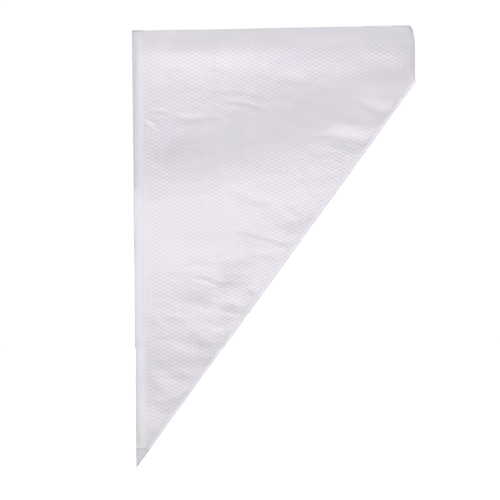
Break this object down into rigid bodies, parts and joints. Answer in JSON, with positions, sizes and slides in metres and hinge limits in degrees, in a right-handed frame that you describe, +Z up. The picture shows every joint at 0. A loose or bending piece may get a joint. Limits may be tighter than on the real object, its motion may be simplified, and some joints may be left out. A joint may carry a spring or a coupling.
{
  "type": "piping bag",
  "caption": "Conical film bag for piping icing or cream: flat embossed film bag with a straight side seal, a slanting weld to a closed tip and a wide open mouth.",
  "frame": {"origin": "the sealed tip, where the outer edge of the side seal meets the outer edge of the slanting weld, midway between the two films", "axes": "+Z up the side seal from tip to mouth, +X across the mouth away from the side seal, -Y out of the front film, +Y out of the back film"},
  "size_m": [0.2, 0.0006, 0.31],
  "materials": {
    "embossed_film": "milky translucent polyethylene film with a fine raised diamond pattern and a soft gloss",
    "plain_seal": "smooth sealed film, glossier and a little greyer than the pattern",
    "weld": "melted and hardened film edge, smooth"
  },
  "bodies": {
    "seal": {"side_seal": "plain_seal", "tip_seal": "weld"},
    "front_left": {"front_film_left": "embossed_film"},
    "front_right": {"front_film_right": "embossed_film", "diagonal_weld": "weld", "shoulder_fold": "plain_seal"},
    "back_right": {"back_film_right": "embossed_film"},
    "back_left": {"back_film_left": "embossed_film"}
  },
  "joints": [
    {"name": "mouth_open", "type": "hinge", "parent": "seal", "child": "front_left", "pos_m": [0.0075, 0, 0.01351], "axis": [0, 0, -1], "range_deg": [0, 40]},
    {"name": "front_crease", "type": "hinge", "parent": "front_left", "child": "front_right", "pos_m": [0.0075, 0, 0.01351], "axis": [0.313, 0, 0.9498], "range_deg": [0, 77.5]},
    {"name": "weld_hinge", "type": "hinge", "parent": "front_right", "child": "back_right", "pos_m": [0.0075, 0, 0.01351], "axis": [-0.5945, 0, -0.8041], "range_deg": [0, 80.5]},
    {"name": "back_crease", "type": "hinge", "parent": "back_right", "child": "back_left", "pos_m": [0.0075, 0, 0.01351], "axis": [0.313, 0, 0.9498], "range_deg": [0, 77.5]}
  ],
  "couplings": [
    {"joint": "front_crease", "follows": "mouth_open", "ratio": 1.9276},
    {"joint": "weld_hinge", "follows": "mouth_open", "ratio": 2},
    {"joint": "back_crease", "follows": "mouth_open", "ratio": 1.9276}
  ]
}
